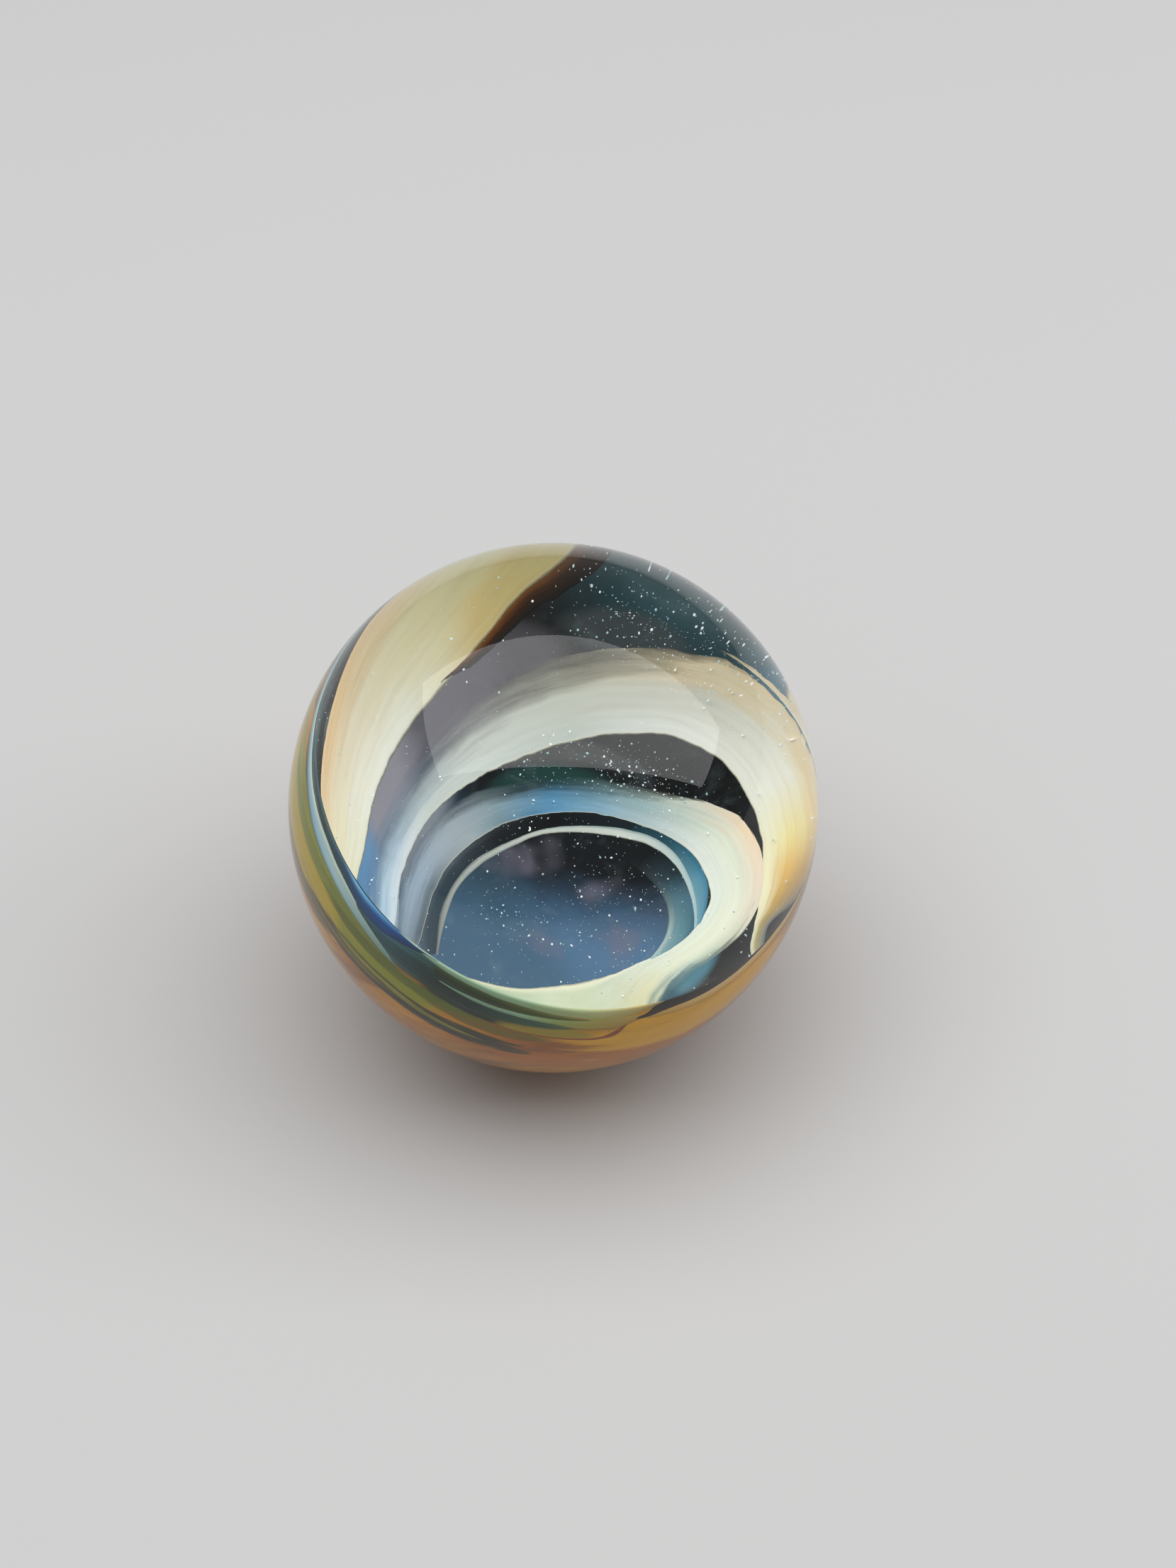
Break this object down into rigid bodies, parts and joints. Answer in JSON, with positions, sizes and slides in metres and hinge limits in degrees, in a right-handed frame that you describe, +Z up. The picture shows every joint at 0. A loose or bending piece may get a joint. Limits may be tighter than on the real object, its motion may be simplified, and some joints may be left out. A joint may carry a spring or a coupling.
{
  "type": "glass vortex marble",
  "caption": "Handmade glass ball with a spiral vortex of smoked glass and pale ribbons inside it, kept on a ring stand for display or play.",
  "frame": {"origin": "centre of the ball", "axes": "+Z up as the marble is shown on a ring stand, -Y towards the side the vortex leans to, +X to the right of that view"},
  "size_m": [0.035, 0.035, 0.035],
  "materials": {
    "marble_glass": "fire polished clear glass over fumed colour"
  },
  "bodies": {
    "root": {"glass_marble": "marble_glass"}
  },
  "joints": []
}
